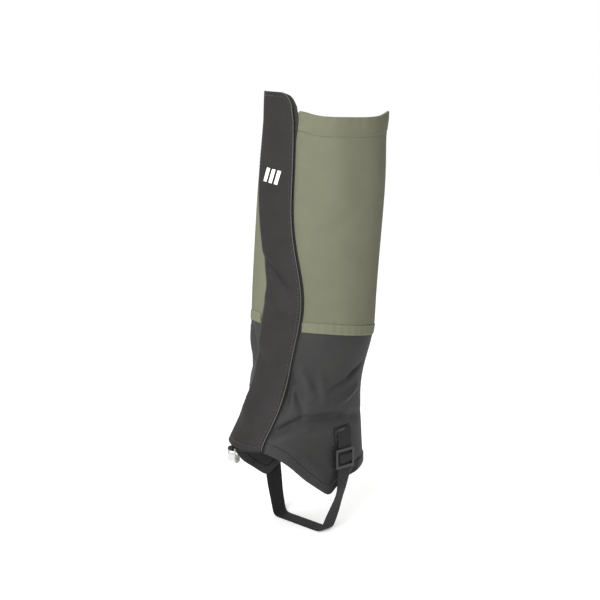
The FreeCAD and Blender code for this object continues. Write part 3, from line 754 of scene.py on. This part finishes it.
def front_grid(left, right, low, high, rows, columns, off):
    """Angles and heights on the front; the edges are functions of the height, and low and
    high are heights or rows of heights from left to right."""
    share = np.linspace(0, 1, rows)[:, None]
    reach = np.linspace(0, 1, columns)[None, :]
    height = low + (high - low) * share + 0 * reach
    across = left(height) + (right(height) - left(height)) * reach
    return angle_of(across, height, off), height


def leaf(centre, thick):
    """Closed section round a centre line of (off, up) points, with its ends drawn in."""
    centre = np.asarray(centre, float)
    along = np.gradient(centre, axis=0)
    along /= np.linalg.norm(along, axis=1, keepdims=True)
    side = np.stack([-along[:, 1], along[:, 0]], -1) * thick / 2
    draw_in = np.ones((len(centre), 1))
    draw_in[[0, -1]] = 0.45
    return np.concatenate([centre + side * draw_in, (centre - side * draw_in)[::-1]])


def turned_over(outer, inner, deep, thick, tuck=0.0, sign=1):
    """Section of cloth turned over an edge: down the outside and down the inside."""
    radius = (outer - inner) / 2
    middle = (outer + inner) / 2
    steps = np.linspace(-deep, -radius, 9)
    draw = tuck * (1 - soft_step((steps + deep) / 3.0))
    outside = np.stack([outer - draw, steps], -1)
    arc = np.linspace(0, math.pi, 9)[1:-1]
    over = np.stack([middle + radius * np.cos(arc), -radius + radius * np.sin(arc)], -1)
    inside = np.stack([inner + 0 * steps, steps[::-1]], -1)
    centre = np.concatenate([outside, over, inside])
    return leaf(centre * [1, sign], thick)


def flat_tape(off, low, high, thick, crown=0.0):
    """Section of a flat tape with a slight crown."""
    up = np.linspace(low, high, 9)
    bulge = crown * np.sin(math.pi * (up - low) / (high - low))
    return leaf(np.stack([off + bulge, up], -1), thick)


def swept(name, base, section, material, start, end, columns=320):
    """Section carried round the leg along a height that is a function of the angle."""
    theta = np.radians(np.linspace(start, end, columns))[:, None]
    height = base(theta) + section[None, :, 1]
    theta = theta + 0 * height
    points, _ = place(theta, height, section[None, :, 0] + 0 * height)
    rows, sides = theta.shape
    faces = ring_faces(rows, sides)
    faces.append(list(range(sides)))
    faces.append([(rows - 1) * sides + k for k in range(sides)][::-1])
    thread = np.stack([theta * ring(height)[1], height, 0 * height], -1)
    return make_object(name, points.reshape(-1, 3), faces, thread.reshape(-1, 3), material)


# ------------------------------------------------------------------ shells and their tapes

# The shells part in front of the fold, under the flap: angles of the slit's two edges.
SLIT_RIGHT, SLIT_LEFT = 5.4, 363.4
UPPER_START, UPPER_END = front_gap(SHELL_HIGH - 6)
SEAM_START, SEAM_END = front_gap(SEAM_MIDDLE)
HEM_START, HEM_END = front_gap(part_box("front_placket")[0].z / MM + 4)

upper = cloth("upper_cloth",
              *leg_grid(seam_height, lambda t: rim_height(t) - 1.2, 130, 320,
                        SLIT_RIGHT, SLIT_LEFT), 0.0, 0.7, OLIVE)
put(upper, "shell", "olive_shell", "upper_shell")

casing = swept("rim_casing", rim_height, turned_over(0.6, -1.75, 20.5, 0.4, tuck=0.15),
               OLIVE, UPPER_START, UPPER_END)
put(casing, "shell", "olive_shell", "top_casing")
elastic = swept("rim_elastic", rim_height, flat_tape(-0.95, -18.0, -3.5, 0.8), ELASTIC,
                UPPER_START + 1, UPPER_END - 1, 220)
put(elastic, "shell", "black_tape", "top_elastic")

lower = cloth("lower_cloth", *leg_grid(hem_height, seam_height, 120, 320,
                                       SLIT_RIGHT, SLIT_LEFT), 0.0, 0.7, CHARCOAL)
put(lower, "shell", "charcoal_cloth", "lower_shell")

band = swept("seam_band_cloth", seam_height, flat_tape(0.75, -5.5, 5.5, 0.7, 0.12),
             OLIVE_BAND_PAINTED_LIGHTER, SEAM_START, SEAM_END)
put(band, "shell", "olive_shell", "seam_band")

hem = swept("hem_binding", hem_height, turned_over(0.95, -0.8, 10.0, 0.6, tuck=0.2, sign=-1),
            CHARCOAL, HEM_START, HEM_END)
put(hem, "shell", "black_tape", "bottom_hem_tape")

around_ankle = swept("inner_elastic", lambda t: ELASTIC_MIDDLE + 0 * t,
                     flat_tape(-1.15, -6.0, 6.0, 1.0), ELASTIC, 72, 288, 200)
put(around_ankle, "shell", "black_tape", "ankle_elastic")


def round_row(name, base, up, off, material, start, end, **sizes):
    """Lay a row of stitches round the leg at a height above a base line."""
    theta = np.radians(np.linspace(start + 0.6, end - 0.6, 500))
    row = seam_row(name, theta, base(theta) + up, off, material, **sizes)
    put(row, "shell", "thread")


round_row("casing_row", rim_height, -19.3, 0.8, OLIVE_THREAD, UPPER_START, UPPER_END,
          thick_mm=0.2)
for name, up in (("band_row_high", 4.3), ("band_row_low", -4.3)):
    round_row(name, seam_height, up, 1.1, OLIVE_THREAD, SEAM_START, SEAM_END, thick_mm=0.22)
round_row("hem_row", hem_height, 8.8, 1.4, DARK_THREAD, HEM_START, HEM_END)


# ------------------------------------------------------------------ front closure

PILE_LOW, PILE_HIGH = (corner.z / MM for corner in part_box("loop_tape"))
# How far the flap's middle stands off the cloth: over the placket, and at the sewn edge.
FLAP_OFF, ROOT_OFF = 4.6, 2.2


def flap_stand(share):
    """Height of the flap's middle over the cloth from its sewn edge, 0, to its free edge, 1."""
    return (ROOT_OFF + (FLAP_OFF - ROOT_OFF) * soft_step(share / 0.12)
            + 0.5 * soft_step((share - 0.93) / 0.07))


def flap_top(share):
    """Height of the flap's top edge from its sewn edge, 0, to its free edge, 1."""
    drop = 3.0 * share + 13.0 * np.clip((share - 0.68) / 0.32, 0, 1) ** 2.4
    return FLAP_HIGH - 0.6 - drop


def flap_bottom(share):
    """Height of the flap's bottom edge, which rises towards the sewn side."""
    return FLAP_LOW + 0.6 + 1.4 * share + 6.0 * (1 - share) ** 1.4


def flap_height(share, up):
    """Height at a share across and a share up the flap."""
    return flap_bottom(share) + (flap_top(share) - flap_bottom(share)) * up


def flap_point(share, up, lift=0.0):
    """Points and normals on the flap at shares across and up, lifted off its middle."""
    share, up = np.broadcast_arrays(np.asarray(share, float), np.asarray(up, float))
    height = flap_height(share, up)
    across = sewn_edge(height) + (free_edge(height) - sewn_edge(height)) * share
    stand = flap_stand(share)
    return place(angle_of(across, height, stand), height, stand + lift)


columns = np.linspace(0, 1, 44)[None, :]
theta, height = front_grid(sewn_edge, free_edge, flap_bottom(columns), flap_top(columns),
                           230, 44, flap_stand(columns))
flap = cloth("front_flap", theta, height, flap_stand(columns) + 0 * height, 0.8,
             CHARCOAL_FLAP)
put_across_fold(flap, "charcoal_cloth", "flap_sewn_side", "flap_free_side")

lining = cloth("flap_lining_cloth",
               *front_grid(lambda z: 0 * z + FOLD_RIGHT, lambda z: free_edge(z) - 1.4,
                           FLAP_LOW + 2.5, FLAP_HIGH - 20.5, 120, 20, FLAP_OFF),
               FLAP_OFF - 0.75, 0.5, BINDING)
put_across_fold(lining, "black_tape", "flap_lining")

hooks = cloth("hook_tape_pile",
              *front_grid(lambda z: 0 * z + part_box("hook_tape")[0].x / MM,
                          lambda z: free_edge(z) - 4.0, PILE_LOW, PILE_HIGH, 100, 14,
                          FLAP_OFF - 1.45),
              FLAP_OFF - 1.45, 0.8, HOOK_PILE)
put_across_fold(hooks, "hook_pile", "hook_tape")

loops = cloth("loop_tape_pile",
              *front_grid(lambda z: 0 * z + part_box("loop_tape")[0].x / MM,
                          lambda z: free_edge(z) - 4.0, PILE_LOW, PILE_HIGH, 100, 14,
                          1.95),
              1.95, 0.9, LOOP_PILE)
put(loops, "shell", "loop_pile", "loop_tape")

placket_share = np.linspace(0, 1, 14)[None, :]
placket_top = FLAP_HIGH - 3.6 - 4.5 * placket_share - 9.5 * placket_share ** 4
placket = cloth("placket_tape",
                *front_grid(lambda z: 0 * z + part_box("front_placket")[0].x / MM,
                            placket_edge, FLAP_LOW + 0.5,
                            placket_top, 150, 14, 1.0),
                1.0, 0.8, BINDING)
put(placket, "shell", "black_tape", "front_placket")

up = np.concatenate([np.linspace(0.004, 0.996, 170), np.full(14, 0.998)])
share = np.concatenate([np.full(170, 1.0), np.linspace(0.985, 0.72, 14)])
edge_line, edge_out = flap_point(share, up)
side_way = np.cross(edge_out, np.gradient(edge_line, axis=0))
side_way /= np.linalg.norm(side_way, axis=1, keepdims=True)
piping = tube("flap_piping", edge_line - 0.35 * side_way, edge_out, 0.55, 0.55, PIPING, 10)
put_across_fold(piping, "edge_piping", "flap_edge_piping")


line = np.linspace(0, 1, 300)
# Rows of stitches just inside the flap's four edges: shares across and up it.
for name, share, up in (("flap_free_row", 0.945 + 0 * line, 0.012 + 0.976 * line),
                        ("flap_top_row", 0.05 + 0.89 * line, 0.988 + 0 * line),
                        ("flap_bottom_row", 0.05 + 0.89 * line, 0.012 + 0 * line),
                        ("flap_sewn_row", 0.05 + 0 * line, 0.012 + 0.976 * line)):
    positions, normals = flap_point(share, up, 0.42)
    put_across_fold(stitches(name, positions, normals, DARK_THREAD), "thread")


def bar_grid(left, wide, low, tall, lean):
    """Angles and heights of a slanted printed bar."""
    up = np.linspace(0, 1, 14)[:, None]
    over = np.linspace(0, 1, 10)[None, :]
    across = left + wide * over + lean * up
    level = low + tall * up - 0.17 * across
    return angle_of(across, level, FLAP_OFF), level


PRINT_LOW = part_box("reflective_print")[0].z / MM
PRINT_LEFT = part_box("reflective_print")[0].x / MM
for number in range(3):
    bar = cloth(f"print_bar_{number}",
                *bar_grid(PRINT_LEFT + 2 + 7.8 * number, 4.8, PRINT_LOW, 15.0, 4.0),
                FLAP_OFF + 0.5, 0.16, INK)
    put_across_fold(bar, "reflective_ink", *(["reflective_print"] if number == 0 else []))


# ------------------------------------------------------------------ strap, tabs and hook loop

STRAP_Y = (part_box("underfoot_strap")[0].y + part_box("underfoot_strap")[1].y) / 2 / MM
STRAP_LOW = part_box("underfoot_strap")[0].z / MM
STRAP_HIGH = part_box("underfoot_strap")[1].z / MM
STRAP_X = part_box("underfoot_strap")[1].x / MM - 0.6
# Where the web turns in under the boot: its half spread on the ground, and its height.
ARCH_X, TURN_IN_Z = 38.0, 48.0
WEB_HALF = (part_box("underfoot_strap")[1].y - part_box("underfoot_strap")[0].y) / 2 / MM


def smooth_path(corners, step, blur):
    """Points at an even step along straight runs whose corners are then rounded."""
    corners = np.asarray(corners, float)
    lengths = np.linalg.norm(np.diff(corners, axis=0), axis=1)
    total = np.concatenate([[0], np.cumsum(lengths)])
    count = int(total[-1] / step)
    at = np.linspace(0, total[-1], count)
    path = np.stack([np.interp(at, total, corners[:, k]) for k in range(3)], -1)
    reach = int(3 * blur / step)
    weights = np.exp(-0.5 * (np.arange(-reach, reach + 1) * step / blur) ** 2)
    weights /= weights.sum()
    start = 2 * path[0] - path[reach:0:-1]
    end = 2 * path[-1] - path[-2:-reach - 2:-1]
    padded = np.concatenate([start, path, end])
    return np.stack([np.convolve(padded[:, k], weights, "valid") for k in range(3)], -1)


leg = [(STRAP_X - 1.7, 2.0, STRAP_HIGH - 1), (STRAP_X - 0.2, 2.0, 106),
       (STRAP_X, 1.5, 85), (STRAP_X, 0.5, 68), (STRAP_X - 2.2, -1.5, TURN_IN_Z),
       (STRAP_X - 9.5, -4.5, 26), (ARCH_X, -7.0, STRAP_LOW + 0.6)]
route = leg + [(-x, y, z) for x, y, z in reversed(leg)]
route = [(x, STRAP_Y + y, z) for x, y, z in route]
strap_path = smooth_path(route, 1.6, 4.2)
# The web twists a little where it leaves the slider and turns in under the boot.
twist = -0.28 * np.exp(-((strap_path[:, 2] - TURN_IN_Z + 4) / 20) ** 2) * np.sign(strap_path[:, 0])
web_across = np.stack([np.sin(twist), np.cos(twist), 0 * twist], -1)
strap = tube("strap_webbing", strap_path, web_across, WEB_HALF - 0.2, 0.6, WEBBING, 18)
put(strap, "strap", "black_webbing", "underfoot_strap")

SLIDER_LOW, SLIDER_HIGH = (corner.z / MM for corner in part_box("slider_frame"))
SLIDER_Z = (SLIDER_LOW + SLIDER_HIGH) / 2
SLIDER_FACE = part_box("slider_frame")[1].x / MM
turn = np.linspace(-1, 1, 15)
arch = np.stack([STRAP_X + 0.1 + (SLIDER_FACE - STRAP_X - 0.5) * (1 - turn ** 6),
                 STRAP_Y + 1.5 + 0 * turn, SLIDER_Z + 5.2 * turn], -1)
loop_web = tube("slider_webbing", arch, (0, 1, 0), WEB_HALF - 0.5, 0.45, WEBBING, 14)
put(loop_web, "slider", "black_webbing")


def tab_grid(side, low, high, low_half, high_half, middle):
    """Angles and heights of a patch on the outer side, 1, or the inner side, -1."""
    up = np.linspace(0, 1, 26)[:, None]
    over = np.linspace(-1, 1, 22)[None, :]
    level = low + (high - low) * up + 0 * over
    half = low_half + (high_half - low_half) * soft_step(up)
    forward = middle + half * over
    setback, _, half_depth = ring(level)
    theta = np.arccos(np.clip((setback - forward) / half_depth, -1, 1))
    return (theta if side > 0 else 2 * math.pi - theta), level


TAB_LOW, TAB_HIGH = (corner.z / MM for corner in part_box("outer_strap_tab"))
TACK_LOW, TACK_HIGH = (corner.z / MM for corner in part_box("strap_bartacks"))
for side, name in ((1, "outer_strap_tab"), (-1, "inner_strap_tab")):
    middle = STRAP_Y + 0.3
    theta, height = tab_grid(side, TAB_LOW - 1, TAB_HIGH - 1.5, 9.6, 14.0, middle)
    patch = cloth(f"{name}_webbing", theta, height, 1.7, 1.2, WEBBING)
    put(patch, "shell", "black_webbing", name)
    for number, level in enumerate((TACK_LOW + 1, TACK_HIGH - 1)):
        theta, height = tab_grid(side, level, level + 0.01, 8.5, 8.5, middle)
        for part, shift in enumerate((0.0, 1.0)):
            tack = seam_row(f"{name}_tack_{number}_{part}", theta[0], height[0] + shift, 2.4,
                            DARK_THREAD, long_mm=1.9, gap_mm=-1.2, thick_mm=0.28,
                            dash=1.25 if part else 1.9)
            put(tack, "shell", "thread",
                *(["strap_bartacks"] if side + number + part == 1 else []))

tack_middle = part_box("placket_bartack")[0] / MM
theta = angle_of(np.linspace(tack_middle.x - 0.6, tack_middle.x + 3.0, 8),
                 tack_middle.z + 1.0 + np.zeros(8))
placket_tack = seam_row("placket_tack", theta, tack_middle.z + 1.0 + 0 * theta, 1.65,
                        DARK_THREAD, long_mm=2.2, gap_mm=-1.6, thick_mm=0.26, dash=1.4)
put(placket_tack, "shell", "thread", "placket_bartack")

# Middle of the hook's bar, which the loop wraps round, and the top of the loop's tail.
hook_low, hook_high = (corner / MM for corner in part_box("hook_tab"))
bar_x, bar_y, bar_z = hook_low.x + 3.7, hook_low.y + 2.7, hook_low.z + 2.7
wrap = np.linspace(math.radians(40), math.radians(-290), 30)
loop = np.stack([bar_x + 0 * wrap, bar_y + 2.2 * np.cos(wrap), bar_z + 2.2 * np.sin(wrap)], -1)
tail_top = (bar_x, hook_high.y - 0.9, hook_high.z - 0.5)
tail = np.linspace(tail_top, loop[0], 9)[:-1]
hook_loop = tube("hook_loop_webbing", np.concatenate([tail, loop]), (1, 0, 0), 3.6, 0.45,
                 WEBBING, 14)
put(hook_loop, "shell", "black_webbing", "hook_tab")

for name, finish in (("slider_frame", ACETAL), ("lace_hook", STEEL)):
    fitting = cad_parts[name]
    fitting.data.materials.clear()
    fitting.data.materials.append(finish)


# ------------------------------------------------------------------ floor, light and camera

floor_mesh = bpy.data.meshes.new("floor")
FLOOR_REACH = 6.0
floor_mesh.from_pydata([(x * FLOOR_REACH, y * FLOOR_REACH, cad_box[0].z)
                        for x, y in ((-1, -1), (1, -1), (1, 1), (-1, 1))], [], [(0, 1, 2, 3)])
floor = bpy.data.objects.new("floor", floor_mesh)
bpy.context.scene.collection.objects.link(floor)
# Matt pale card: carries the soft shadow under the strap and nothing else.
paper, paper_tree = start_material("matt_white_card")
finish_material(paper_tree, linear("FAFAF9"), 0.9, None, {
    "Specular IOR Level": 0.1, "Emission Color": linear("FFFFFF"), "Emission Strength": 0.2})
floor_mesh.materials.append(paper)


def softbox(name, spot, aim, size, power):
    """Set up a square area lamp at a spot, turned to its aim, both in metres."""
    lamp = bpy.data.lights.new(name, "AREA")
    lamp.size = size
    lamp.energy = power
    holder = bpy.data.objects.new(name, lamp)
    holder.location = spot
    holder.rotation_euler = (Vector(aim) - Vector(spot)).to_track_quat("-Z", "Y").to_euler()
    bpy.context.scene.collection.objects.link(holder)


centre = (0, 0, 0.26)
softbox("key_light", (0.75, -1.5, 0.85), centre, 0.7, 25)
softbox("top_light", (0.2, -0.9, 1.6), centre, 0.8, 8)

# Bright room but for a dark patch on the outer side, which shades the leg's far edge.
world = bpy.data.worlds.new("studio")
world.use_nodes = True
world.node_tree.nodes.clear()
way = add_node(world.node_tree, "ShaderNodeTexCoord").outputs["Generated"]
DARK_TURN = math.radians(20)
side = add_node(world.node_tree, "ShaderNodeVectorMath", {"operation": "DOT_PRODUCT"},
                {0: way, 1: (math.cos(DARK_TURN), math.sin(DARK_TURN), 0)})
falling = add_node(world.node_tree, "ShaderNodeMapRange", {"interpolation_type": "SMOOTHSTEP"},
                   {"Value": side.outputs["Value"], "From Min": 0.45, "From Max": 0.9,
                    "To Min": 1.0, "To Max": 0.05})
room = add_node(world.node_tree, "ShaderNodeBackground",
                links={"Color": linear("FFFFFF"), "Strength": falling.outputs[0]})
add_node(world.node_tree, "ShaderNodeOutputWorld",
         links={"Surface": room.outputs["Background"]})
bpy.context.scene.world = world
bpy.context.scene.view_settings.view_transform = "Standard"

# Camera on the outer toe side, a little above the gaiter's middle, in metres.
CAMERA_SPOT, FIELD_OF_VIEW = (0.9412, -0.8968, 0.458), math.radians(28.1)
turn, pitch = math.radians(47), math.radians(9.1)
camera_data = bpy.data.cameras.new("main_camera")
camera_data.angle = FIELD_OF_VIEW
camera = bpy.data.objects.new("main_camera", camera_data)
camera.location = CAMERA_SPOT
view_way = Vector((-math.sin(turn) * math.cos(pitch), math.cos(turn) * math.cos(pitch),
                   -math.sin(pitch)))
camera.rotation_euler = view_way.to_track_quat("-Z", "Y").to_euler()
bpy.context.scene.collection.objects.link(camera)
bpy.context.scene.camera = camera
